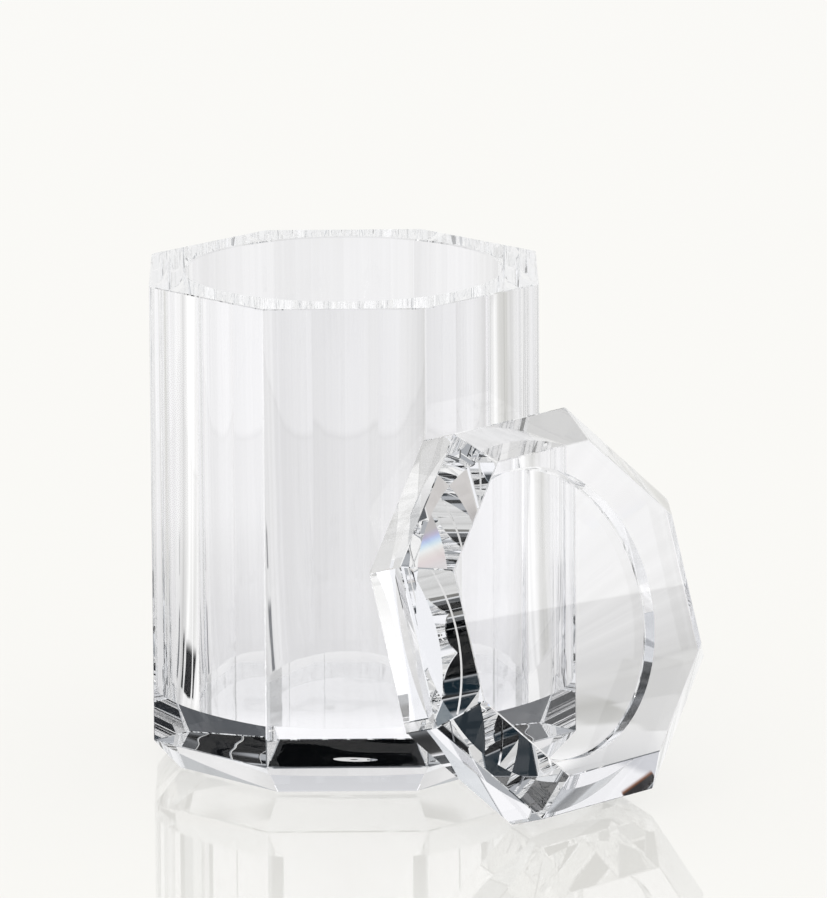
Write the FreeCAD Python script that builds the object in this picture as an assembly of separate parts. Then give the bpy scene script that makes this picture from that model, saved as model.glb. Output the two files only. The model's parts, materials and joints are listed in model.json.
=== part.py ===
"""Octagonal crystal jar for round cotton pads, with its loose faceted lid.

The jar is a bored octagonal barrel bonded to a thick base slab, and the lid is a
step-cut octagon with a round locating plug bonded under it. The lid is taken off and
leans on the jar's front-right facet. Millimetres, +Z up, origin at the centre of the
base's underside, with one flat facet facing -Y.
"""
import FreeCAD
import Part

import math
import os

# ---- Octagonal blank, shared by the jar and the lid ----
SIDES = 8
ACROSS_FLATS = 85.0
ARRIS = 0.3               # width of the polished flat that takes the edge off every corner

# ---- Jar ----
JAR_HEIGHT = 109.0
BORE_DIAMETER = 69.5      # round pads of 57 to 60 mm, with finger room
BASE_THICKNESS = 14.4
FOOT_BEVEL_HEIGHT = 6.9
FOOT_BEVEL_INSET = 5.8

# ---- Lid ----
GIRDLE_HEIGHT = 9.7
CROWN_HEIGHT = 7.8
CROWN_INSET = 7.9
PLUG_CLEARANCE = 2.75     # all round, between the plug and the bore
PLUG_HEIGHT = 6.0

# ---- The lid's place, taken off and leaning on the jar ----
LEAN_ANGLE = 17.55        # of the lid's flat back from the vertical
LEAN_TURN = 0.98          # of the lid about the vertical, away from square to the facet
LEAN_OFFSET = -4.0        # of the lid's centre along the facet, minus towards the front
LEAN_GAP = 0.3            # between the plug's edge and the facet that it leans on
LEAN_FACET = 45.0         # heading of that facet, turned from -Y towards +X

# ---- Derived from the above ----
HALF_FLATS = ACROSS_FLATS / 2
HALF_SIDE_ANGLE = math.pi / SIDES
BORE_RADIUS = BORE_DIAMETER / 2
PLUG_RADIUS = BORE_RADIUS - PLUG_CLEARANCE
LID_THICKNESS = GIRDLE_HEIGHT + CROWN_HEIGHT


def toward(point, target, distance):
    """The point that lies a distance from one (radius, z) point toward another."""
    span = math.dist(point, target)
    return tuple(p + (t - p) * distance / span for p, t in zip(point, target))


def eased(outline, sharp=()):
    """A (radius, z) outline with each corner off the axis cut back by the arris.

    The first and last points lie on the axis. Corners whose z is in sharp are left.
    """
    points = [outline[0]]
    for before, corner, after in zip(outline, outline[1:], outline[2:]):
        if corner[1] in sharp:
            points.append(corner)
        else:
            points.append(toward(corner, before, ARRIS))
            points.append(toward(corner, after, ARRIS))
    points.append(outline[-1])
    return points


def ring(apothem, z):
    """Corners of an octagon whose own corners are cut by a flat one arris wide."""
    side = 2 * apothem * math.tan(HALF_SIDE_ANGLE)
    cut = ARRIS / 2 / math.cos(HALF_SIDE_ANGLE)
    corners = []
    for index in range(SIDES):
        heading = 2 * HALF_SIDE_ANGLE * index
        outward = FreeCAD.Vector(math.cos(heading), math.sin(heading), 0)
        along = FreeCAD.Vector(-math.sin(heading), math.cos(heading), 0)
        for end in (-1, 1):
            corner = outward * apothem + along * end * (side / 2 - cut)
            corners.append(corner + FreeCAD.Vector(0, 0, z))
    return corners


def polygon(corners):
    """A flat face with the given corners."""
    return Part.Face(Part.makePolygon(corners + [corners[0]]))


def cut_octagon(outline):
    """A solid whose eight flats and arrises follow a (radius, z) outline."""
    rings = [ring(apothem, z) for apothem, z in outline[1:-1]]
    faces = [polygon(rings[0]), polygon(rings[-1])]
    for lower, upper in zip(rings, rings[1:]):
        for index in range(len(lower)):
            after = (index + 1) % len(lower)
            faces.append(polygon([lower[index], lower[after], upper[after], upper[index]]))
    solid = Part.makeSolid(Part.makeShell(faces))
    if solid.Volume < 0:
        solid.reverse()
    return solid


def turned(outline):
    """A round solid: a (radius, z) outline revolved about the axis."""
    points = [FreeCAD.Vector(radius, 0, z) for radius, z in outline]
    return polygon(points).revolve(FreeCAD.Vector(), FreeCAD.Vector(0, 0, 1), 360)


def make_barrel():
    """The octagonal wall of the jar, bored right through and open at the rim."""
    outline = eased([(0, BASE_THICKNESS), (HALF_FLATS, BASE_THICKNESS),
                     (HALF_FLATS, JAR_HEIGHT), (0, JAR_HEIGHT)], sharp=(BASE_THICKNESS,))
    mouth = BORE_RADIUS + ARRIS
    bore = turned([(0, BASE_THICKNESS), (BORE_RADIUS, BASE_THICKNESS),
                   (BORE_RADIUS, JAR_HEIGHT - ARRIS), (mouth, JAR_HEIGHT), (0, JAR_HEIGHT)])
    return cut_octagon(outline).cut(bore)


def make_base():
    """The thick slab that closes the bore, with a bevel round its foot."""
    foot = HALF_FLATS - FOOT_BEVEL_INSET
    outline = eased([(0, 0), (foot, 0), (HALF_FLATS, FOOT_BEVEL_HEIGHT),
                     (HALF_FLATS, BASE_THICKNESS), (0, BASE_THICKNESS)],
                    sharp=(BASE_THICKNESS,))
    return cut_octagon(outline)


def make_lid_crown():
    """The faceted lid, lying on its flat back: an upright girdle, a bevel and a table."""
    table = HALF_FLATS - CROWN_INSET
    outline = eased([(0, 0), (HALF_FLATS, 0), (HALF_FLATS, GIRDLE_HEIGHT),
                     (table, LID_THICKNESS), (0, LID_THICKNESS)])
    return cut_octagon(outline)


def make_lid_plug():
    """The round disc under the lid that drops into the bore."""
    return turned([(0, -PLUG_HEIGHT), (PLUG_RADIUS - ARRIS, -PLUG_HEIGHT),
                   (PLUG_RADIUS, ARRIS - PLUG_HEIGHT), (PLUG_RADIUS, 0), (0, 0)])


def leaning():
    """The placement that stands the lid on one girdle flat, leaning on the facet."""
    lean = math.radians(LEAN_ANGLE)
    turn = math.radians(LEAN_TURN)
    facet = math.radians(LEAN_FACET)
    sideways = math.sin(turn)
    backwards = math.sin(lean) * math.cos(turn)
    plug_rim = (PLUG_RADIUS - ARRIS) * math.hypot(sideways, backwards)
    plug_depth = PLUG_HEIGHT * math.cos(lean) * math.cos(turn)
    reach = HALF_FLATS + LEAN_GAP + plug_rim + plug_depth
    height = HALF_FLATS * math.cos(lean) - ARRIS * math.sin(lean)
    outward = FreeCAD.Vector(math.sin(facet), -math.cos(facet), 0)
    along = FreeCAD.Vector(math.cos(facet), math.sin(facet), 0)
    place = outward * reach + along * LEAN_OFFSET + FreeCAD.Vector(0, 0, height)
    tip_up = FreeCAD.Rotation(FreeCAD.Vector(1, 0, 0), 90 - LEAN_ANGLE)
    face_out = FreeCAD.Rotation(FreeCAD.Vector(0, 0, 1), LEAN_FACET + LEAN_TURN)
    return FreeCAD.Placement(place, face_out * tip_up)


def main():
    """Build each piece, set the lid in its place and write one STEP file for each."""
    pieces = {
        "jar_barrel": make_barrel(),
        "jar_base": make_base(),
        "lid_crown": make_lid_crown(),
        "lid_plug": make_lid_plug(),
    }
    for name in ("lid_crown", "lid_plug"):
        pieces[name].Placement = leaning()
    os.makedirs("parts", exist_ok=True)
    for name, shape in pieces.items():
        shape.exportStep(f"parts/{name}.step")
        print(name, "valid" if shape.isValid() else "INVALID", round(shape.Volume / 1000, 2), "cm3")


main()
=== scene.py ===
"""Dresses a cut-crystal jar for cotton pads, with its loose faceted lid leaning on it.

Both pieces are clear optical crystal, ground flat and polished. They are modelled here
as closed blocks with eased edges, one for each piece that a hand can lift, and replace
the plain solids of the frame. Crystal shows what stands round it, so the surround and the
floor carry the tones that are seen in its facets; on the floor these are painted light and shade.
"""

import json
import logging
import math
from dataclasses import dataclass
from enum import Enum
from typing import Callable, Iterable

import bmesh
import bpy
from mathutils import Matrix, Vector

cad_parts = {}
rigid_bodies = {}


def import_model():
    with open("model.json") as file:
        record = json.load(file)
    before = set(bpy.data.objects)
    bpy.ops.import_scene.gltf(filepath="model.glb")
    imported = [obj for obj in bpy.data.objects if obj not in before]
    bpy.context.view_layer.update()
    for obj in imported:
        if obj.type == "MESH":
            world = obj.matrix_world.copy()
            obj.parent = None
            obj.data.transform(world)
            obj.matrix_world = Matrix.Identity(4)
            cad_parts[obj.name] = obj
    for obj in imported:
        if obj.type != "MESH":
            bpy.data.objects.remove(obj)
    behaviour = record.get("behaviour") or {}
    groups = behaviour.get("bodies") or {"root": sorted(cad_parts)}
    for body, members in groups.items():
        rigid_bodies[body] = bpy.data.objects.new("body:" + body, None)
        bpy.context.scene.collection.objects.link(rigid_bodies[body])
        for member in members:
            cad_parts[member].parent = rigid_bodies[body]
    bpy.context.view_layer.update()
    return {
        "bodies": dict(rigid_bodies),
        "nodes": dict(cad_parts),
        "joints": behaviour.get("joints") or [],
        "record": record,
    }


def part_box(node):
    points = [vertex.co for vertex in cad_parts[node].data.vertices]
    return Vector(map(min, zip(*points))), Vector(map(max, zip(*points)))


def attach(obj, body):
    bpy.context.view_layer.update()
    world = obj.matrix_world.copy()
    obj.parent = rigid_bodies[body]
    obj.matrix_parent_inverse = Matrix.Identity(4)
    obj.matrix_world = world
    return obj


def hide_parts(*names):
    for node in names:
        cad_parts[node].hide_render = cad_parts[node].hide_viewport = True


LOG = logging.getLogger("crystal_jar")
MM = 0.001
DEGREES = math.degrees(1)
SIDES = 8
HALF_SIDE_ANGLE = math.pi / SIDES
BACKDROP = "#FBFAF6"
BLACK_CARD = "#030405"
WHITE = "#FFFFFF"

SMOOTH_UNDER = math.radians(8)   # the angle up to which facets of a round wall shade as one
LEVEL = 0.99                     # a face's normal is this far along Z if the face lies level
UPRIGHT = 0.1                    # and less than this if it stands upright
TOUCH = 0.01 * MM                # places nearer than this are the same
WELD = 0.001 * MM                # corners nearer than this are merged

MATH = "ShaderNodeMath"
MIX_SHADERS = "ShaderNodeMixShader"
EMISSION = "ShaderNodeEmission"

Colour = tuple[float, ...]
Material = bpy.types.Material
Obj = bpy.types.Object
Socket = bpy.types.NodeSocket
Tree = bpy.types.NodeTree
Limit = tuple[Socket, float, float]


# ---------------------------------------------------------------- colour and nodes


def linear(hex_colour: str, level: float = 1.0) -> Colour:
    """Turns an sRGB hex colour to the linear values that a shader takes.

    Args:
        hex_colour: Six hex digits with a leading hash.
        level: How bright it is, 1 for the colour as it is written.

    Returns:
        Red, green and blue, linear and times the level, and an alpha of 1.
    """
    channels = [int(hex_colour[i:i + 2], 16) / 255 for i in (1, 3, 5)]
    plain = [c / 12.92 if c <= 0.04045 else ((c + 0.055) / 1.055) ** 2.4 for c in channels]
    return (*(level * part for part in plain), 1.0)


def add_node(tree: Tree, kind: str, settings: dict | None = None,
             links: dict | None = None) -> bpy.types.Node:
    """Adds a node, sets its properties and sockets, and links its inputs.

    Args:
        tree: The node tree to add to.
        kind: The node's type name.
        settings: Values by property name, or by input name or number.
        links: Output sockets by the name or number of the input that they feed.

    Returns:
        The new node.
    """
    node = tree.nodes.new(kind)
    for key, value in (settings or {}).items():
        if isinstance(key, str) and hasattr(node, key):
            setattr(node, key, value)
        else:
            node.inputs[key].default_value = value
    for key, socket in (links or {}).items():
        tree.links.new(socket, node.inputs[key])
    return node


def within(tree: Tree, *limits: Limit) -> Socket:
    """How far a place lies within soft limits, from 0 outside to 1 inside.

    Args:
        tree: The node tree to add to.
        limits: Each a measure, its value at the outer end of the soft edge, and its value at
            the inner end, which may be the lower of the two.

    Returns:
        The product of the smooth steps over all the limits.
    """
    share = None
    for measure, outer, inner in limits:
        step = add_node(tree, "ShaderNodeMapRange", {
            "interpolation_type": "SMOOTHSTEP", 1: min(outer, inner), 2: max(outer, inner),
            3: float(outer > inner), 4: float(outer < inner)}, {0: measure}).outputs[0]
        share = step if share is None else add_node(
            tree, MATH, {"operation": "MULTIPLY"}, {0: share, 1: step}).outputs[0]
    return share


def lay_over(tree: Tree, base: Colour | Socket,
             layers: Iterable[tuple[Socket, Colour | Socket]]) -> Socket:
    """Lays colours over a base, one after another, each as far as its cover reaches.

    Args:
        tree: The node tree to add to.
        base: The colour underneath.
        layers: Each the cover of a layer, from 0 to 1, and its colour.

    Returns:
        The colour that is seen in the end.
    """
    for cover, colour in layers:
        parts = {6: base, 7: colour}
        fixed = {slot: part for slot, part in parts.items() if isinstance(part, tuple)}
        linked = {slot: part for slot, part in parts.items() if slot not in fixed}
        base = add_node(tree, "ShaderNodeMix", {"data_type": "RGBA", **fixed},
                        {0: cover, **linked}).outputs[2]
    return base


def colour_run(tree: Tree, measure: Socket, low: float, high: float,
               stops: tuple[tuple[float, str], ...]) -> Socket:
    """A run of colours along a measure, blended from each stop to the next.

    Args:
        tree: The node tree to add to.
        measure: What the run follows.
        low: The measure at the start of the run.
        high: The measure at its end.
        stops: Each a value of the measure and the hex colour that it has there.

    Returns:
        The colour at the measure.
    """
    share = add_node(tree, MATH, {
        "operation": "MULTIPLY_ADD", 1: 1 / (high - low), 2: -low / (high - low)},
        {0: measure}).outputs[0]
    run = add_node(tree, "ShaderNodeValToRGB", {}, {0: share})
    elements = run.color_ramp.elements
    while len(elements) < len(stops):
        elements.new(1.0)
    for element, (value, colour) in zip(elements, stops):
        element.position = (value - low) / (high - low)
        element.color = linear(colour)
    return run.outputs[0]


# ---------------------------------------------------------------- finishes


class Face(Enum):
    """The kinds of surface on the jar, by material slot."""

    FACET = 0
    BORE = 1
    UNDERSIDE = 2


class Tooling(Enum):
    """What a tool shape does to a piece."""

    JOIN = "UNION"
    CUT = "DIFFERENCE"


@dataclass(frozen=True)
class PolishedCrystal:
    """Optical crystal, ground and polished: clear, with sharp reflections and no haze.

    A facet is lapped flat and bends what is behind it without blur. The bore is polished on a
    brush drawn up and down, which leaves faint upright ripples, and the underside is pressed,
    which leaves it gently wavy.

    Attributes:
        name: The material's name.
        index: How strongly it bends light.
        tint: Its colour in depth, almost none.
        wave_length: Size of a ripple across.
        wave_depth: Height of a ripple, 0 for a flat finish.
        wave_detail: How much finer ripples are added.
        wave_shift: Where the pattern starts, along X.
        rise: Ripples in a height against those across, under 1 for upright ones.
    """

    name: str = "polished_crystal"
    index: float = 1.52
    tint: str = "#FEFEFF"
    wave_length: float = 1.0 * MM
    wave_depth: float = 0.0
    wave_detail: float = 0.0
    wave_shift: float = 0.0
    rise: float = 1.0

    def material(self) -> Material:
        """The finish as a material, with ripples where it has any.

        Returns:
            The new material.
        """
        material = bpy.data.materials.new(self.name)
        material.use_nodes = True
        tree = material.node_tree
        tree.nodes.clear()
        shader = add_node(tree, "ShaderNodeBsdfPrincipled", {
            "Base Color": linear(self.tint), "Roughness": 0.0, "IOR": self.index,
            "Transmission Weight": 1.0})
        add_node(tree, "ShaderNodeOutputMaterial", links={"Surface": shader.outputs["BSDF"]})
        if self.wave_depth:
            place = add_node(tree, "ShaderNodeTexCoord").outputs["Object"]
            drawn = add_node(tree, "ShaderNodeMapping", {
                "Location": (self.wave_shift, 0, 0), "Scale": (1, 1, self.rise)},
                {"Vector": place})
            waves = add_node(tree, "ShaderNodeTexNoise", {
                "Scale": 1 / self.wave_length, "Detail": self.wave_detail},
                {"Vector": drawn.outputs[0]})
            bump = add_node(tree, "ShaderNodeBump", {"Distance": self.wave_depth},
                            {"Height": waves.outputs[0]})
            tree.links.new(bump.outputs[0], shader.inputs["Normal"])
        return material


# The brush's own ripples, about 1 mm wide, are too fine to show: these are 4 mm wide.
BRUSHED = PolishedCrystal(name="bored_crystal", wave_length=4 * MM, wave_depth=0.1 * MM,
                          wave_detail=1.0, rise=0.02)
# A press leaves waves about as wide as a fingertip.
PRESSED = PolishedCrystal(name="pressed_crystal", wave_length=20 * MM, wave_depth=0.2 * MM,
                          wave_shift=10 * MM)


# ---------------------------------------------------------------- modelling helpers


def deselect_all() -> None:
    """Leaves nothing selected in object mode."""
    if bpy.context.mode != "OBJECT":
        bpy.ops.object.mode_set(mode="OBJECT")
    bpy.ops.object.select_all(action="DESELECT")


def choose(obj: Obj) -> None:
    """Makes an object the only selected and active one.

    Args:
        obj: The object.
    """
    deselect_all()
    obj.select_set(True)
    bpy.context.view_layer.objects.active = obj


def prism(name: str, sides: int, radius: float, bottom: float, top: float,
          turn: float = 0.0) -> Obj:
    """Adds an upright prism on the Z axis and leaves it active.

    Args:
        name: The object's name.
        sides: How many sides it has.
        radius: Distance of its corners from the axis.
        bottom: Height of its lower end.
        top: Height of its upper end.
        turn: Angle that it is turned about Z.

    Returns:
        The prism, with its place in its mesh.
    """
    deselect_all()
    bpy.ops.mesh.primitive_cylinder_add(
        vertices=sides, radius=radius, depth=top - bottom, end_fill_type="NGON",
        location=(0, 0, (top + bottom) / 2), rotation=(0, 0, turn))
    bpy.ops.object.transform_apply(location=True, rotation=True, scale=True)
    obj = bpy.context.object
    obj.name = name
    obj.data.name = name
    return obj


def octagon(name: str, across_flats: float, bottom: float, top: float) -> Obj:
    """An octagonal prism with a flat towards -Y.

    Args:
        name: The object's name.
        across_flats: Its width from one flat to the flat across.
        bottom: Height of its lower end.
        top: Height of its upper end.

    Returns:
        The prism, with its place in its mesh.
    """
    corner = across_flats / 2 / math.cos(HALF_SIDE_ANGLE)
    return prism(name, SIDES, corner, bottom, top, HALF_SIDE_ANGLE)


def pick_faces(obj: Obj, wanted: Callable[[bmesh.types.BMFace], bool]) -> None:
    """Enters edit mode with only the wanted faces of an object selected.

    Args:
        obj: The object.
        wanted: The test that a face has to pass.
    """
    choose(obj)
    bpy.ops.object.mode_set(mode="EDIT")
    bpy.ops.mesh.select_mode(type="FACE")
    bpy.ops.mesh.select_all(action="DESELECT")
    mesh = bmesh.from_edit_mesh(obj.data)
    for face in mesh.faces:
        face.select = wanted(face)
    bmesh.update_edit_mesh(obj.data)


def grow_end(obj: Obj, height: float, step: float, factor: float) -> None:
    """Extrudes the level end face of a prism and sizes the new end.

    Args:
        obj: The prism.
        height: Height of the end face.
        step: How far it is extruded, minus for downwards.
        factor: The new end's size against the old one.
    """
    pick_faces(obj, lambda face: abs(face.normal.z) > LEVEL
               and abs(face.calc_center_median().z - height) < TOUCH)
    bpy.ops.mesh.extrude_region_move(TRANSFORM_OT_translate={"value": (0, 0, step)})
    bpy.ops.transform.resize(value=(factor, factor, 1), center_override=(0, 0, height + step))
    bpy.ops.object.mode_set(mode="OBJECT")


def ease_edges(obj: Obj, width: float) -> None:
    """Polishes a small flat on every edge of a piece, as a hand lap does.

    Args:
        obj: The piece.
        width: Width of the flat.
    """
    choose(obj)
    bpy.ops.object.mode_set(mode="EDIT")
    bpy.ops.mesh.select_all(action="SELECT")
    bpy.ops.mesh.bevel(offset=width, offset_type="WIDTH", segments=1, affect="EDGES")
    bpy.ops.object.mode_set(mode="OBJECT")


def combine(obj: Obj, tool: Obj, tooling: Tooling) -> None:
    """Joins a tool shape to a piece, or cuts it away, and removes the tool.

    Args:
        obj: The piece.
        tool: The tool shape.
        tooling: What the tool does.
    """
    choose(obj)
    modifier = obj.modifiers.new("combine", "BOOLEAN")
    modifier.object = tool
    modifier.operation = tooling.value
    modifier.solver = "EXACT"
    bpy.ops.object.modifier_apply(modifier=modifier.name)
    bpy.data.objects.remove(tool, do_unlink=True)


def finish_mesh(obj: Obj) -> None:
    """Cleans a piece's mesh and shades it flat except across gentle angles.

    Args:
        obj: The piece.
    """
    choose(obj)
    bpy.ops.object.mode_set(mode="EDIT")
    bpy.ops.mesh.select_all(action="SELECT")
    bpy.ops.mesh.remove_doubles(threshold=WELD)
    bpy.ops.mesh.normals_make_consistent(inside=False)
    bpy.ops.object.mode_set(mode="OBJECT")
    bpy.ops.object.shade_smooth_by_angle(angle=SMOOTH_UNDER)


# ---------------------------------------------------------------- the pieces


@dataclass
class Jar:
    """The octagonal jar: a bored barrel and the base slab bonded under it.

    Attributes:
        crystal: The finish of the facets and the rim.
        bored: The finish of the bore's wall.
        pressed: The finish of the underside.
        across_flats: Its width from flat to flat.
        height: Height of the rim.
        floor_height: Height of the bore's floor.
        bore_radius: Radius of the bore.
        foot_bevel_height: Height of the bevel round the foot.
        foot_bevel_inset: How far in the bevel's lower edge stands.
        arris: Width of the flat polished on each edge.
        bore_segments: Facets that stand for the round bore.
    """

    crystal: Material
    bored: Material
    pressed: Material
    across_flats: float
    height: float
    floor_height: float
    bore_radius: float
    foot_bevel_height: float = 6.9 * MM
    foot_bevel_inset: float = 5.8 * MM
    arris: float = 0.3 * MM
    bore_segments: int = 512

    @classmethod
    def from_frame(cls, frame: dict, **finishes: Material) -> "Jar":
        """Reads the jar's sizes from the frame.

        Args:
            finishes: The materials, by the name of their attribute.

        Returns:
            The jar, not built yet.
        """
        low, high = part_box("jar_barrel")
        mouth = next(m for m in frame["record"]["mounts"] if m["name"] == "jar_mouth")
        return cls(**finishes, across_flats=high[0] - low[0], height=high[2],
                   floor_height=low[2], bore_radius=mouth["dims"]["r_mm"] * MM)

    def block(self) -> Obj:
        """The solid octagonal block with its foot bevel and eased edges.

        Returns:
            The block, standing at z 0.
        """
        obj = octagon("jar_crystal", self.across_flats, self.foot_bevel_height, self.height)
        half = self.across_flats / 2
        grow_end(obj, self.foot_bevel_height, -self.foot_bevel_height,
                 (half - self.foot_bevel_inset) / half)
        ease_edges(obj, self.arris)
        return obj

    def core(self) -> Obj:
        """The round core that the drill takes out, flared at the mouth for its arris.

        Returns:
            The core, which stands a little proud of the rim.
        """
        obj = prism("bore_core", self.bore_segments, self.bore_radius, self.floor_height,
                    self.height - self.arris)
        flare = (self.bore_radius + self.arris) / self.bore_radius
        grow_end(obj, self.height - self.arris, self.arris, flare)
        grow_end(obj, self.height, self.arris, 1.0)
        return obj

    def kind_of(self, face: bpy.types.MeshPolygon) -> Face:
        """Which kind of surface a face of the finished jar is.

        Args:
            face: The face.

        Returns:
            Its kind.
        """
        reach = math.hypot(face.center.x, face.center.y)
        if abs(face.normal.z) < UPRIGHT and reach < self.bore_radius + self.arris / 4:
            return Face.BORE
        return Face.UNDERSIDE if face.normal.z < -LEVEL else Face.FACET

    def build(self) -> Obj:
        """The whole jar as one clear block, riding its body.

        Returns:
            The finished piece.
        """
        obj = self.block()
        combine(obj, self.core(), Tooling.CUT)
        finish_mesh(obj)
        for finish in (self.crystal, self.bored, self.pressed):
            obj.data.materials.append(finish)
        for face in obj.data.polygons:
            face.material_index = self.kind_of(face).value
        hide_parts("jar_barrel", "jar_base")
        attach(obj, "jar")
        return obj


@dataclass
class Lid:
    """The step-cut lid: an octagonal crown and the round plug bonded under it.

    Attributes:
        crystal: Its finish.
        across_flats: Its width from flat to flat.
        girdle_height: Height of the upright sides.
        crown_height: Height of the sloping facets above them.
        crown_inset: How far in the table's edge stands.
        plug_radius: Radius of the plug.
        plug_height: How far the plug stands out of the crown's back.
        arris: Width of the flat polished on each edge.
        plug_segments: Facets that stand for the round plug.
        lean_angle: Angle of the lid's back from the vertical.
        lean_turn: Angle about the vertical, away from square to the facet it leans on.
        lean_facet: Heading of that facet, from -Y towards +X.
        lean_offset: Place of the lid along the facet, minus for towards the front.
        lean_gap: Clearance between the plug's edge and the facet.
    """

    crystal: Material
    across_flats: float
    girdle_height: float = 9.7 * MM
    crown_height: float = 7.8 * MM
    crown_inset: float = 7.9 * MM
    plug_radius: float = 32.0 * MM
    plug_height: float = 6.0 * MM
    arris: float = 0.3 * MM
    plug_segments: int = 384
    lean_angle: float = math.radians(17.55)
    lean_turn: float = math.radians(0.98)
    lean_facet: float = math.radians(45)
    lean_offset: float = -4.0 * MM
    lean_gap: float = 0.3 * MM

    def crown(self) -> Obj:
        """The faceted octagon lying on its flat back, with eased edges.

        Returns:
            The crown, with its back at z 0.
        """
        obj = octagon("lid_crystal", self.across_flats, 0, self.girdle_height)
        half = self.across_flats / 2
        grow_end(obj, self.girdle_height, self.crown_height, (half - self.crown_inset) / half)
        ease_edges(obj, self.arris)
        return obj

    def plug(self) -> Obj:
        """The round disc that drops into the bore, with an arris round its foot.

        Returns:
            The plug, reaching up into the crown.
        """
        obj = prism("plug", self.plug_segments, self.plug_radius, self.arris - self.plug_height,
                    self.girdle_height / 2)
        shrink = (self.plug_radius - self.arris) / self.plug_radius
        grow_end(obj, self.arris - self.plug_height, -self.arris, shrink)
        return obj

    def leaning(self) -> Matrix:
        """The transform that stands the lid on a girdle flat, leaning on the jar's facet.

        Returns:
            The transform, from the lid lying on its back.
        """
        sideways = math.sin(self.lean_turn)
        backwards = math.sin(self.lean_angle) * math.cos(self.lean_turn)
        rim = (self.plug_radius - self.arris) * math.hypot(sideways, backwards)
        depth = self.plug_height * math.cos(self.lean_angle) * math.cos(self.lean_turn)
        reach = self.across_flats / 2 + self.lean_gap + rim + depth
        height = (self.across_flats / 2 * math.cos(self.lean_angle)
                  - self.arris * math.sin(self.lean_angle))
        outward = Vector((math.sin(self.lean_facet), -math.cos(self.lean_facet), 0))
        along = Vector((math.cos(self.lean_facet), math.sin(self.lean_facet), 0))
        place = outward * reach + along * self.lean_offset + Vector((0, 0, height))
        tip_up = Matrix.Rotation(math.pi / 2 - self.lean_angle, 4, "X")
        face_out = Matrix.Rotation(self.lean_facet + self.lean_turn, 4, "Z")
        return Matrix.Translation(place) @ face_out @ tip_up

    def build(self) -> Obj:
        """The whole lid as one clear block in its leaning place, riding its body.

        Returns:
            The finished piece.
        """
        obj = self.crown()
        combine(obj, self.plug(), Tooling.JOIN)
        finish_mesh(obj)
        obj.data.transform(self.leaning())
        obj.data.update()
        obj.data.materials.append(self.crystal)
        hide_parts("lid_crown", "lid_plug")
        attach(obj, "lid")
        return obj


# ---------------------------------------------------------------- the floor


class Along(Enum):
    """What a place on the floor is measured by, from the jar's axis."""

    X = "to the right"
    Y = "to the back"
    ASIDE = "to either side"
    AHEAD = "to the front or the back"
    RADIUS = "outwards"
    TURN = "round the jar, in degrees"
    SLANT = "away from a slanting line at the left"


@dataclass(frozen=True)
class Ground:
    """The floor's node tree, with what a place on the floor is measured by.

    Attributes:
        tree: The node tree.
        along: A socket for each measure.
    """

    tree: Tree
    along: dict[Along, Socket]


class Lit:
    """Something of the studio that has a colour and a level of light."""

    colour: str
    level: float

    def light(self) -> Colour:
        """The colour at its level, linear."""
        return linear(self.colour, self.level)


@dataclass(frozen=True)
class Bar(Lit):
    """A strip on the floor, pointing away from the jar: painted light where bright, painted shade
    where dark.

    Attributes:
        start: Azimuth of one side round the jar, in degrees.
        end: Azimuth of its other side.
        inner: Distance of its near end from the jar's axis.
        outer: Distance of its far end.
        colour: Its hex colour.
        level: How bright it is, 1 for white paper.
        fade: Length over which its far end fades out.
        root: Length over which its near end fades out.
        side: Half the width of its soft sides, in degrees.
    """

    start: float
    end: float
    inner: float
    outer: float
    colour: str
    level: float = 1.0
    fade: float = 5 * MM
    root: float = 3 * MM
    side: float = 0.7

    def cover(self, ground: Ground) -> Socket:
        """How much of the floor the bar covers.

        Args:
            ground: The floor's nodes and measures.

        Returns:
            From 0 beside the bar to 1 on it.
        """
        turn, radius = ground.along[Along.TURN], ground.along[Along.RADIUS]
        return within(ground.tree, (turn, self.start - self.side, self.start + self.side),
                      (turn, self.end + self.side, self.end - self.side),
                      (radius, self.inner, self.inner + self.root),
                      (radius, self.outer, self.outer - self.fade))


@dataclass(frozen=True)
class Zone(Lit):
    """A painted reflection: part of the floor, lighter or darker where a polished face mirrors it.

    Attributes:
        limits: What bounds it: a measure, and its values at the outer and the inner end of
            the soft edge. All of them hold.
        colour: Its hex colour.
        level: How bright it is, 1 for white paper.
        either: More limits, of which at least one holds.
    """

    limits: tuple[tuple[Along, float, float], ...]
    colour: str
    level: float = 1.0
    either: tuple[tuple[Along, float, float], ...] = ()

    def cover(self, ground: Ground) -> Socket:
        """How much of the floor the zone covers.

        Args:
            ground: The floor's nodes and measures.

        Returns:
            From 0 outside the zone to 1 inside it.
        """
        tree = ground.tree
        share = within(tree, *((ground.along[name], *ends) for name, *ends in self.limits))
        union = None
        for name, *ends in self.either:
            part = within(tree, (ground.along[name], *ends))
            union = part if union is None else add_node(
                tree, MATH, {"operation": "MAXIMUM"}, {0: union, 1: part}).outputs[0]
        if union is None:
            return share
        return add_node(tree, MATH, {"operation": "MULTIPLY"}, {0: share, 1: union}).outputs[0]


@dataclass(frozen=True)
class Noise:
    """Noise along a line: its cells in a unit, how much finer noise is added, how strongly."""

    scale: float
    detail: float
    roughness: float


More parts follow.
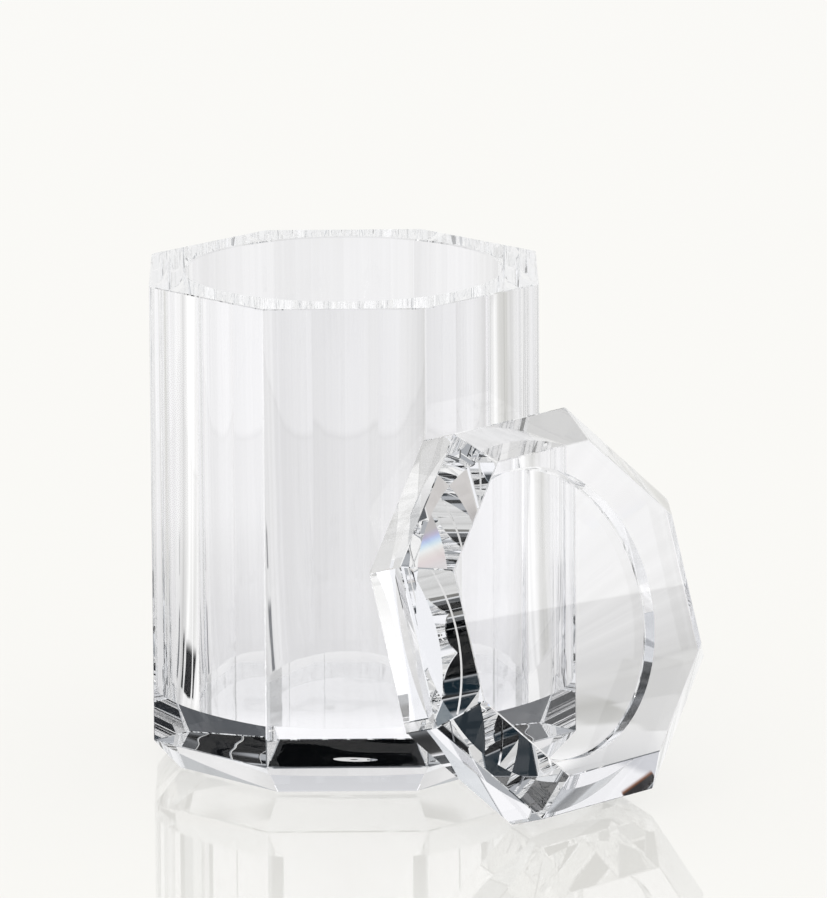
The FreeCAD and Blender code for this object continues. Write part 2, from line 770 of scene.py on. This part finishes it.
@dataclass(frozen=True)
class PaintedRays:
    """Fine rays of painted light and shade over the floor, running outwards as from a slatted
    blind.

    Attributes:
        fine: The rays straight behind the jar, over degrees.
        broad: The rays at its sides and before it.
        change: Azimuths between which fine gives way to broad, in degrees.
        strength: Strength of the fine rays.
        gain: How much stronger the broad ones are.
        start: Distances from the axis between which the rays set in.
    """

    fine: Noise = Noise(0.35, 4.0, 0.7)
    broad: Noise = Noise(0.14, 1.5, 0.6)
    change: tuple[float, float] = (18.0, 40.0)
    strength: float = 0.22
    gain: float = 0.68
    start: tuple[float, float] = (60 * MM, 110 * MM)

    def level(self, ground: Ground) -> Socket:
        """How much the rays lighten or darken the floor.

        Args:
            ground: The floor's nodes and measures.

        Returns:
            The change of level, around 0.
        """
        tree, turn = ground.tree, ground.along[Along.TURN]
        side = add_node(tree, MATH, {"operation": "ABSOLUTE"}, {0: turn}).outputs[0]
        aside = within(tree, (side, *self.change))
        # rays of painted light and shade, fine behind the jar and broad at its sides
        fine, broad = (add_node(tree, "ShaderNodeTexNoise", {
            "noise_dimensions": "1D", "Scale": noise.scale, "Detail": noise.detail,
            "Roughness": noise.roughness}, {"W": turn}).outputs[0]
            for noise in (self.fine, self.broad))
        rays = add_node(tree, "ShaderNodeMix", {"data_type": "FLOAT"},
                        {0: aside, 2: fine, 3: broad}).outputs[0]
        rays = add_node(tree, MATH, {"operation": "SUBTRACT", 1: 0.5}, {0: rays}).outputs[0]
        strength = add_node(tree, MATH, {
            "operation": "MULTIPLY_ADD", 1: self.gain, 2: self.strength}, {0: aside}).outputs[0]
        for factor in (strength, within(tree, (ground.along[Along.RADIUS], *self.start))):
            rays = add_node(tree, MATH, {"operation": "MULTIPLY"}, {0: rays, 1: factor}).outputs[0]
        return rays


@dataclass
class Floor:
    """A plain pale sheet of glossy acrylic, with painted light and shade only the crystal shows.

    The eye and the sheet's own gloss meet an even page. A ray that has gone through the
    crystal meets painted light and shade round the jar, in wedges, rays and strips of tone,
    and one that a face of the crystal mirrors meets a few broad areas of painted reflection.

    Attributes:
        size: Side of the sheet.
        gap: How far the sheet lies under the jar.
        gloss_tint: Colour of the gloss.
        gloss_ior: Index of the acrylic.
        gloss_haze: Roughness of the gloss.
        page_light: Share of the page that is lit evenly and takes no shadow.
        tone_light: Share of the tones that is lit evenly.
        light_and_shade_sectors: Painted light and shade round the jar, each an azimuth in degrees
            and a hex colour.
        painted_rays: The fine rays of painted light and shade over them.
        mat_edge: Distance from the axis of the edge of a square mat in the tones.
        mat_blur: Half the width over which the level steps there.
        mat_step: How much lighter it is beyond the mat.
        mat_line: Distances from the edge between which its dark line ends.
        mat_depth: How dark that line is.
        rainbow: A painted rainbow of light far to the right, each stop a distance and a hex colour.
        rainbow_reach: Distance at which that run of tones ends.
        rainbow_start: Distances between which it sets in.
        painted_light_bars: Strips of painted light over the tones.
        painted_light_under_back: Colour of the painted light right under the jar, at the back,
            lifting its shade.
        painted_light_under_front: Colour of that painted light at the front.
        painted_light_under_gain: How bright the front is.
        painted_light_under_depth: How far forward it is the front's in full.
        painted_light_under_edge: Distances from the axis between which the painted light under the
            jar ends.
        painted_shade_front: Colour of the painted shade far before the jar, standing for the room's
            dark front.
        painted_shade_front_start: Distances forward between which it sets in.
        painted_shade_front_width: Distances aside between which it ends.
        painted_shade_strokes: Dark strips of painted shade over everything.
        slant_offset: How far the slanting line stands from the axis, along X.
        painted_reflection_zones: Light and dark areas of painted reflection that only a mirroring
            face shows.
    """

    size: float = 6.0
    gap: float = 0.3 * MM
    gloss_tint: str = "#F0F0F0"
    gloss_ior: float = 1.5
    gloss_haze: float = 0.02
    page_light: float = 0.78
    tone_light: float = 0.8
    # painted light and shade round the jar, seen only through the crystal
    light_and_shade_sectors: tuple[tuple[float, str], ...] = (
        (-180, "#CFD0D1"), (-125, "#D9DADB"), (-104, WHITE), (-92, WHITE), (-80, "#FAFAFA"),
        (-75, "#F8F8F8"), (-65, "#F8F8F8"), (-60, "#E4E4E5"), (-57, "#D6D6D7"),
        (-54.5, "#C6C6C7"), (-51, "#DADADB"), (-46, "#E4E4E5"), (-38, "#F0F0F1"),
        (-30, "#E6E6E8"), (-22, "#DFDFE1"), (-10, "#E4E4E6"), (0, "#EAEAEC"), (11, "#EDEDEF"),
        (20, "#E5E5E6"), (28, "#E4E4E5"), (34, "#D5D5D6"), (40, "#E2E2E2"), (47, "#D0D0CF"),
        (55, "#BEBEBB"), (62, "#C8C8C6"), (70, "#D2D2D0"), (74, "#F8F8F8"), (90, "#F2F2F3"),
        (125, "#D6D7D8"), (180, "#CFD0D1"),
    )
    # rays of painted light and shade over the tones
    painted_rays: PaintedRays = PaintedRays()
    mat_edge: float = 320 * MM
    mat_blur: float = 3 * MM
    mat_step: float = 0.08
    mat_line: tuple[float, float] = (7 * MM, 2 * MM)
    mat_depth: float = 0.05
    # a painted rainbow of light far to the right
    rainbow: tuple[tuple[float, str], ...] = (
        (0.50, "#D2D1D4"), (0.60, "#D6D2D5"), (0.635, "#DDD0D2"), (0.66, "#E4DDDB"),
        (0.681, "#EFF3F3"), (0.699, "#CBE5F5"), (0.716, "#A5BDEE"), (0.732, "#A9A0C4"),
        (0.755, "#A9A5A8"), (0.79, "#A9A5A6"), (0.84, "#C4C0BF"), (1.30, "#C9C6C5"),
    )
    rainbow_reach: float = 2.0
    rainbow_start: tuple[float, float] = (0.5, 0.56)
    # strips of painted light over the tones
    painted_light_bars: tuple[Bar, ...] = (
        Bar(-112, -91, 110 * MM, 230 * MM, WHITE, level=1.25),
        Bar(45, 80, 62 * MM, 120 * MM, "#D8D8D8"),
        Bar(80, 130, 62 * MM, 120 * MM, "#FCFCFC"),
        Bar(57, 80, 60 * MM, 84 * MM, "#E4E4E4"),
        Bar(92, 125, 120 * MM, 230 * MM, "#FCFCFC"),
    )
    # painted light right under the jar, lifting the jar's shade there
    painted_light_under_back: str = "#F4F4F3"
    painted_light_under_front: str = WHITE
    painted_light_under_gain: float = 1.2
    painted_light_under_depth: float = 20 * MM
    painted_light_under_edge: tuple[float, float] = (50 * MM, 44 * MM)
    # painted shade on the floor far before the jar
    painted_shade_front: str = "#3A3B3D"
    painted_shade_front_start: tuple[float, float] = (-450 * MM, -550 * MM)
    painted_shade_front_width: tuple[float, float] = (0.5, 0.3)
    # dark strips of painted shade over everything
    painted_shade_strokes: tuple[Bar, ...] = (
        Bar(-84.5, -80.5, 95 * MM, 150 * MM, "#08090B", fade=16 * MM),
        Bar(-77, -65, 92 * MM, 149 * MM, "#08090B", fade=16 * MM),
        Bar(-61, -57, 92 * MM, 156 * MM, "#101113", fade=20 * MM),
        Bar(-46.5, -42.5, 93 * MM, 172 * MM, "#6E7074", fade=20 * MM),
        Bar(-45.2, -43.8, 196 * MM, 250 * MM, "#66676B", fade=20 * MM),
    )
    slant_offset: float = 25 * MM
    # areas of painted reflection, dark and glowing, seen only in the crystal's mirroring faces
    painted_reflection_zones: tuple[Zone, ...] = (
        Zone(((Along.X, -44 * MM, -52 * MM), (Along.X, -260 * MM, -180 * MM)), "#2A2B2D"),
        Zone(((Along.X, -240 * MM, -300 * MM), (Along.AHEAD, 60 * MM, 50 * MM)), WHITE, 1.8),
        Zone(((Along.X, 150 * MM, 200 * MM), (Along.AHEAD, 60 * MM, 50 * MM)), "#2A2B2D"),
        Zone(((Along.Y, -30 * MM, -45 * MM),), "#2A2B2D",
             either=((Along.RADIUS, 175 * MM, 140 * MM), (Along.ASIDE, 70 * MM, 60 * MM))),
        Zone(((Along.SLANT, 8 * MM, 5 * MM), (Along.X, -60 * MM, -70 * MM)), WHITE, 4.0),
        Zone(((Along.X, -80 * MM, -95 * MM), (Along.Y, -50 * MM, -60 * MM),
              (Along.Y, -84.8 * MM, -83.8 * MM)), WHITE, 5.0),
    )

    def ground(self, tree: Tree) -> Ground:
        """Adds the measures of a place on the floor to its node tree.

        Args:
            tree: The node tree.

        Returns:
            The tree with its measures.
        """
        place = add_node(tree, "ShaderNodeTexCoord").outputs["Object"]
        x, y, _ = add_node(tree, "ShaderNodeSeparateXYZ", {}, {0: place}).outputs
        radius = add_node(tree, "ShaderNodeVectorMath", {"operation": "LENGTH"}, {0: place})
        heading = add_node(tree, MATH, {"operation": "ARCTAN2"}, {0: x, 1: y})
        turn = add_node(tree, MATH, {"operation": "MULTIPLY", 1: DEGREES}, {0: heading.outputs[0]})
        across = add_node(tree, MATH, {"operation": "SUBTRACT"}, {0: x, 1: y})
        across = add_node(tree, MATH, {
            "operation": "SUBTRACT", 1: self.slant_offset}, {0: across.outputs[0]})
        aside, ahead, slant = (
            add_node(tree, MATH, {"operation": "ABSOLUTE"}, {0: socket}).outputs[0]
            for socket in (x, y, across.outputs[0]))
        return Ground(tree, {
            Along.X: x, Along.Y: y, Along.ASIDE: aside, Along.AHEAD: ahead, Along.SLANT: slant,
            Along.RADIUS: radius.outputs["Value"], Along.TURN: turn.outputs[0]})

    def level(self, ground: Ground) -> Socket:
        """The level of the painted light and shade, with its rays and the edge of the mat.

        Args:
            ground: The floor's nodes and measures.

        Returns:
            The level, around 1.
        """
        tree = ground.tree
        out = add_node(tree, MATH, {"operation": "MAXIMUM"}, {
            0: ground.along[Along.ASIDE], 1: ground.along[Along.AHEAD]}).outputs[0]
        beyond = within(tree, (out, self.mat_edge - self.mat_blur,
                               self.mat_edge + self.mat_blur))
        off = add_node(tree, MATH, {"operation": "SUBTRACT", 1: self.mat_edge}, {0: out}).outputs[0]
        off = add_node(tree, MATH, {"operation": "ABSOLUTE"}, {0: off}).outputs[0]
        line = within(tree, (off, *self.mat_line))
        level = add_node(tree, MATH, {"operation": "ADD", 1: 1.0},
                         {0: self.painted_rays.level(ground)}).outputs[0]
        for share, change in ((beyond, self.mat_step), (line, -self.mat_depth)):
            level = add_node(tree, MATH, {"operation": "MULTIPLY_ADD", 1: change},
                             {0: share, 2: level}).outputs[0]
        return level

    def tone(self, ground: Ground) -> Socket:
        """The floor's painted light and shade, as it is seen through the crystal.

        Args:
            ground: The floor's nodes and measures.

        Returns:
            The colour.
        """
        tree, along = ground.tree, ground.along
        # painted light and shade round the jar
        wedges = colour_run(tree, along[Along.TURN], -180, 180, self.light_and_shade_sectors)
        tone = add_node(tree, "ShaderNodeVectorMath", {"operation": "SCALE"}, {
            0: wedges, "Scale": self.level(ground)}).outputs[0]
        rainbow = colour_run(tree, along[Along.X], 0.0, self.rainbow_reach, self.rainbow)
        # painted light right under the jar, lifting its shade
        painted_light_under = lay_over(tree, linear(self.painted_light_under_back), [(
            within(tree, (along[Along.Y], 0.0, -self.painted_light_under_depth)),
            linear(self.painted_light_under_front, self.painted_light_under_gain))])
        return lay_over(tree, tone, [
            # a painted rainbow of light far to the right
            (within(tree, (along[Along.X], *self.rainbow_start)), rainbow),
            # strips of painted light
            *((bar.cover(ground), bar.light()) for bar in self.painted_light_bars),
            (within(tree, (along[Along.RADIUS], *self.painted_light_under_edge)), painted_light_under),
            # painted shade far before the jar
            (within(tree, (along[Along.Y], *self.painted_shade_front_start),
                    (along[Along.ASIDE], *self.painted_shade_front_width)), linear(self.painted_shade_front)),
        ])

    def page(self, tree: Tree, paper: Socket) -> Socket:
        """The plain sheet: an even page with a soft shadow, under a clear gloss.

        Args:
            tree: The floor's node tree.
            paper: The shader of the bare sheet.

        Returns:
            The shader.
        """
        even = add_node(tree, EMISSION, {"Color": linear(BACKDROP)}).outputs[0]
        page = add_node(tree, MIX_SHADERS, {0: self.page_light}, {1: paper, 2: even}).outputs[0]
        gloss = add_node(tree, "ShaderNodeFresnel", {"IOR": self.gloss_ior}).outputs[0]
        mirror = add_node(tree, "ShaderNodeBsdfGlossy", {
            "Roughness": self.gloss_haze, "Color": linear(self.gloss_tint)}).outputs[0]
        return add_node(tree, MIX_SHADERS, {}, {0: gloss, 1: page, 2: mirror}).outputs[0]

    def through(self, ground: Ground, paper: Socket) -> Socket:
        """The sheet as it is seen through the crystal, with its painted light and shade.

        Args:
            ground: The floor's nodes and measures.
            paper: The shader of the bare sheet.

        Returns:
            The shader.
        """
        tree = ground.tree
        glow = add_node(tree, EMISSION, {}, {"Color": self.tone(ground)}).outputs[0]
        seen = add_node(tree, MIX_SHADERS, {0: self.tone_light}, {1: paper, 2: glow}).outputs[0]
        # dark strips of painted shade
        for bar in self.painted_shade_strokes:
            dark = add_node(tree, EMISSION, {"Color": bar.light()}).outputs[0]
            seen = add_node(tree, MIX_SHADERS, {},
                            {0: bar.cover(ground), 1: seen, 2: dark}).outputs[0]
        return seen

    def mirrored(self, ground: Ground) -> Socket:
        """The sheet as a polished face mirrors it, with its painted reflection.

        Args:
            ground: The floor's nodes and measures.

        Returns:
            The shader.
        """
        # painted reflection: glowing and dark areas of the floor
        glow = lay_over(ground.tree, linear(BACKDROP),
                        ((zone.cover(ground), zone.light()) for zone in self.painted_reflection_zones))
        return add_node(ground.tree, EMISSION, {}, {"Color": glow}).outputs[0]

    def material(self) -> Material:
        """White acrylic, cast and polished: an even pale page with a faint clear reflection.

        Returns:
            The new material.
        """
        material = bpy.data.materials.new("white_acrylic")
        material.use_nodes = True
        tree = material.node_tree
        tree.nodes.clear()
        ground = self.ground(tree)
        paper = add_node(tree, "ShaderNodeBsdfDiffuse", {"Color": linear(BACKDROP)}).outputs[0]
        path = add_node(tree, "ShaderNodeLightPath").outputs
        surface = self.page(tree, paper)
        # mirrored rays meet the painted reflection, and rays through the crystal the painted light
        # and shade
        for kind, shader in (("Is Glossy Ray", self.mirrored(ground)),
                             ("Is Transmission Ray", self.through(ground, paper))):
            surface = add_node(tree, MIX_SHADERS, {},
                               {0: path[kind], 1: surface, 2: shader}).outputs[0]
        add_node(tree, "ShaderNodeOutputMaterial", {}, {"Surface": surface})
        return material

    def build(self) -> Obj:
        """The sheet, as part of the stage.

        Returns:
            The sheet.
        """
        deselect_all()
        bpy.ops.mesh.primitive_plane_add(size=self.size, location=(0, 0, -self.gap))
        obj = bpy.context.object
        obj.name = "floor_sheet"
        obj.data.materials.append(self.material())
        return obj


# ---------------------------------------------------------------- the surround


@dataclass(frozen=True)
class Patch(Lit):
    """A lit panel, a pale card or a dark opening of the studio, seen in the crystal.

    Attributes:
        azimuth: Heading of its middle in degrees, 0 behind the jar and growing towards +X.
        half_width: Half its width, in degrees.
        bottom: Height of its lower side over the horizon, in degrees.
        top: Height of its upper side.
        colour: Its hex colour.
        level: How bright it is, 1 for white paper.
        edge: Half the width of its soft edge, in degrees.
        tilt: How fast it rises with the azimuth, in degrees for a degree.
    """

    azimuth: float
    half_width: float
    bottom: float
    top: float
    colour: str
    level: float = 1.0
    edge: float = 1.5
    tilt: float = 0.0

    def cover(self, tree: Tree, azimuth: Socket, elevation: Socket) -> Socket:
        """How much of the surround the patch covers in a direction.

        Args:
            tree: The world's node tree.
            azimuth: The direction's heading, in degrees.
            elevation: Its height over the horizon, in degrees.

        Returns:
            From 0 beside the patch to 1 on it.
        """
        turn = add_node(tree, MATH, {"operation": "SUBTRACT", 1: self.azimuth},
                        {0: azimuth}).outputs[0]
        turn = add_node(tree, MATH, {"operation": "WRAP", 1: 180.0, 2: -180.0},
                        {0: turn}).outputs[0]
        aside = add_node(tree, MATH, {"operation": "ABSOLUTE"}, {0: turn}).outputs[0]
        height = add_node(tree, MATH, {"operation": "MULTIPLY_ADD", 1: -self.tilt},
                          {0: turn, 2: elevation}).outputs[0]
        return within(tree, (aside, self.half_width + self.edge, self.half_width - self.edge),
                      (height, self.bottom - self.edge, self.bottom + self.edge),
                      (height, self.top + self.edge, self.top - self.edge))


@dataclass
class Surround:
    """The world: even light from all round, and a studio of panels seen in the crystal.

    Attributes:
        tent: Colour of the tent low down.
        tent_top: Its colour high up.
        tent_rise: Heights between which one becomes the other, in degrees.
        ceiling: Colour overhead.
        ceiling_edge: Heights between which it sets in.
        sheen_rise: Heights between which the outer faces' view goes from page to tent.
        patches: Panels seen through the crystal, the later over the earlier ones.
        glints: Panels that only the outer faces mirror.
    """

    tent: str = "#B2B5B8"
    tent_top: str = "#A9ACB0"
    tent_rise: tuple[float, float] = (20, 60)
    ceiling: str = BLACK_CARD
    ceiling_edge: tuple[float, float] = (74, 82)
    sheen_rise: tuple[float, float] = (22, 30)
    patches: tuple[Patch, ...] = (
        # high up
        Patch(-20, 45, 50, 72, "#DDE0E3", edge=3),
        Patch(0, 181, 36, 44, "#292B2E", edge=1),
        Patch(0, 38, 36, 44, "#2C2F32", edge=1),
        Patch(0, 28, 35, 46, "#F4F5F7", edge=1),
        Patch(8, 12, 60, 68, "#9C9EA0"),
        # behind the jar
        Patch(0, 25, 8.5, 23, "#FDFDFF", level=1.08),
        Patch(3.05, 0.4, 18.9, 19.2, "#DCDDE2", edge=0.03),
        Patch(3.045, 0.15, 18.55, 18.832, "#96603E", edge=0.009, tilt=0.65),
        Patch(3.045, 0.15, 18.55, 18.823, "#2A2726", edge=0.008, tilt=0.65),
        Patch(0, 25, 24, 34, "#55585C"),
        Patch(0, 25, 11.2, 12.2, "#D4D5D8", edge=0.4),
        Patch(0, 30, -1, 6.5, "#7C7E81"),
        Patch(-10.5, 4.5, 2.5, 10.3, "#141517", edge=0.8),
        Patch(-12.75, 1.55, 12.2, 13.3, "#484B4E", edge=0.15, tilt=-1.0),
        Patch(-18.5, 2.8, 17.6, 18.8, "#3C3F42", edge=0.15, tilt=-0.85),
        Patch(31, 8, 7, 13, "#F4F5F7"),
        Patch(-31, 8, 7, 13, "#F4F5F7"),
        Patch(31, 8, 12.6, 15.5, "#4E5155", edge=0.3),
        Patch(-31, 8, 12.6, 15.5, "#4E5155", edge=0.3),
        Patch(-46, 30, 20.5, 28.4, "#0E1012", edge=0.6),
        # at the right
        Patch(90, 28, 7, 22, "#FAFBFE"),
        Patch(90, 28, 24, 34, "#2A3238", edge=1),
        Patch(70, 11, 24, 29, "#7C858B", edge=1),
        Patch(90, 30, 42, 50, "#E9ECEF", edge=1),
        Patch(74, 16, 51, 68, "#0C0D0E"),
        Patch(97, 7, 58, 68, "#505255"),
        # at the left
        Patch(-90, 30, -1, 24, "#E4E6E8"),
        Patch(-90, 20, 58, 68, "#606366"),
        # before the jar
        Patch(-147, 29, 6, 36, "#F1F2F4"),
        Patch(150, 25, 6, 36, "#DFE1E3"),
        Patch(180, 16, -1, 3.6, "#5F6163", edge=0.6),
        Patch(180, 16, -0.5, 0.8, "#D9DBDD", edge=0.15),
        Patch(180, 16, 3.6, 34, BLACK_CARD, edge=0.6),
        Patch(180, 16, 8.8, 9.4, "#A8AAAC", edge=0.1),
        Patch(180, 16, 35, 48, "#17262F", edge=2),
        Patch(180, 30, 58, 68, "#0C0D0F"),
    )
    glints: tuple[Patch, ...] = (
        Patch(0, 60, -1, 24, WHITE, level=1.1, edge=8),
        Patch(88, 20, 0, 10.75, "#3A3C3E", edge=0.01, tilt=0.275),
        Patch(88, 20, 10.75, 24, WHITE, level=2.3, edge=0.01, tilt=0.275),
        Patch(180, 40, -1, 34, "#17191B", edge=4),
    )

    def build(self) -> bpy.types.World:
        """The world, with its light and its panels.

        Returns:
            The world, set in the scene.
        """
        world = bpy.data.worlds.new("light_tent")
        bpy.context.scene.world = world
        world.use_nodes = True
        world.cycles.sampling_method = "NONE"
        tree = world.node_tree
        tree.nodes.clear()
        place = add_node(tree, "ShaderNodeTexCoord").outputs["Generated"]
        x, y, z = add_node(tree, "ShaderNodeSeparateXYZ", {}, {0: place}).outputs
        rise = add_node(tree, MATH, {"operation": "ARCSINE"}, {0: z})
        heading = add_node(tree, MATH, {"operation": "ARCTAN2"}, {0: x, 1: y})
        elevation, azimuth = (
            add_node(tree, MATH, {"operation": "MULTIPLY", 1: DEGREES},
                     {0: angle.outputs[0]}).outputs[0] for angle in (rise, heading))

        sky = lay_over(tree, linear(self.tent), [
            (within(tree, (elevation, *self.tent_rise)), linear(self.tent_top)),
            (within(tree, (elevation, *self.ceiling_edge)), linear(self.ceiling)),
            *((patch.cover(tree, azimuth, elevation), patch.light()) for patch in self.patches),
        ])
        sheen = lay_over(tree, linear(BACKDROP), [
            (within(tree, (elevation, *self.sheen_rise)), sky),
            *((patch.cover(tree, azimuth, elevation), patch.light()) for patch in self.glints),
        ])
        path = add_node(tree, "ShaderNodeLightPath").outputs
        outside = add_node(tree, MATH, {"operation": "SUBTRACT"}, {
            0: path["Is Glossy Ray"], 1: path["Is Transmission Ray"]}).outputs[0]
        plain = add_node(tree, MATH, {"operation": "MAXIMUM"}, {
            0: path["Is Camera Ray"], 1: path["Is Diffuse Ray"]}).outputs[0]
        seen = lay_over(tree, sky, [(outside, sheen), (plain, linear(BACKDROP))])
        light = add_node(tree, "ShaderNodeBackground", {"Strength": 1.0}, {"Color": seen})
        add_node(tree, "ShaderNodeOutputWorld", {}, {"Surface": light.outputs[0]})
        return world


# ---------------------------------------------------------------- the camera


@dataclass
class View:
    """A long lens a little above the rim, square to the jar's front facet.

    Attributes:
        azimuth: The camera's heading from -Y, in degrees.
        elevation: Its height over the horizon, in degrees.
        roll: How far it is rolled, in degrees.
        distance: Its distance from what it looks at.
        target: What it looks at.
        lens: Focal length, in millimetres.
        sensor: Width of the sensor, in millimetres.
        clip: Nearest and farthest distance that it sees.
    """

    azimuth: float = -0.363
    elevation: float = 12.884
    roll: float = -0.340
    distance: float = 2.2
    target: tuple[float, float, float] = (15.08 * MM, 0.0, 68.22 * MM)
    lens: float = 400.1
    sensor: float = 36.0
    clip: tuple[float, float] = (0.1, 50.0)

    def build(self) -> Obj:
        """The camera, set in the scene.

        Returns:
            The camera.
        """
        azimuth, elevation, roll = (
            math.radians(angle) for angle in (self.azimuth, self.elevation, self.roll))
        back = Vector((math.sin(azimuth) * math.cos(elevation),
                       -math.cos(azimuth) * math.cos(elevation), math.sin(elevation)))
        data = bpy.data.cameras.new("camera")
        data.lens = self.lens
        data.sensor_width = self.sensor
        data.clip_start, data.clip_end = self.clip
        obj = bpy.data.objects.new("camera", data)
        bpy.context.collection.objects.link(obj)
        obj.rotation_mode = "QUATERNION"
        obj.location = Vector(self.target) + back * self.distance
        turn = (-back).to_track_quat("-Z", "Y").to_matrix() @ Matrix.Rotation(roll, 3, "Z")
        obj.rotation_quaternion = turn.to_quaternion()
        bpy.context.scene.camera = obj
        return obj


@dataclass
class LightPaths:
    """How often light may bounce on its way out of the crystal.

    Attributes:
        clear: Bounces in and on the crystal.
        matt: Bounces off matt surfaces.
    """

    clear: int = 80
    matt: int = 3

    def apply(self) -> None:
        """Sets the bounces and a plain view of the colours."""
        scene = bpy.context.scene
        scene.view_settings.view_transform = "Standard"
        scene.cycles.max_bounces = self.clear
        scene.cycles.transmission_bounces = self.clear
        scene.cycles.glossy_bounces = self.clear
        scene.cycles.diffuse_bounces = self.matt


def main() -> None:
    """Builds the pieces in order."""
    logging.basicConfig(level=logging.INFO)
    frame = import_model()
    crystal = PolishedCrystal().material()
    jar = Jar.from_frame(frame, crystal=crystal, bored=BRUSHED.material(),
                         pressed=PRESSED.material())
    lid = Lid(crystal=crystal, across_flats=jar.across_flats)
    for piece in (jar, lid):
        obj = piece.build()
        LOG.info("%s: %d faces", obj.name, len(obj.data.polygons))
    for part in (Floor(), Surround(), View()):
        LOG.info("%s: %s", type(part).__name__, part.build().name)
    LightPaths().apply()


if __name__ == "__main__":
    main()
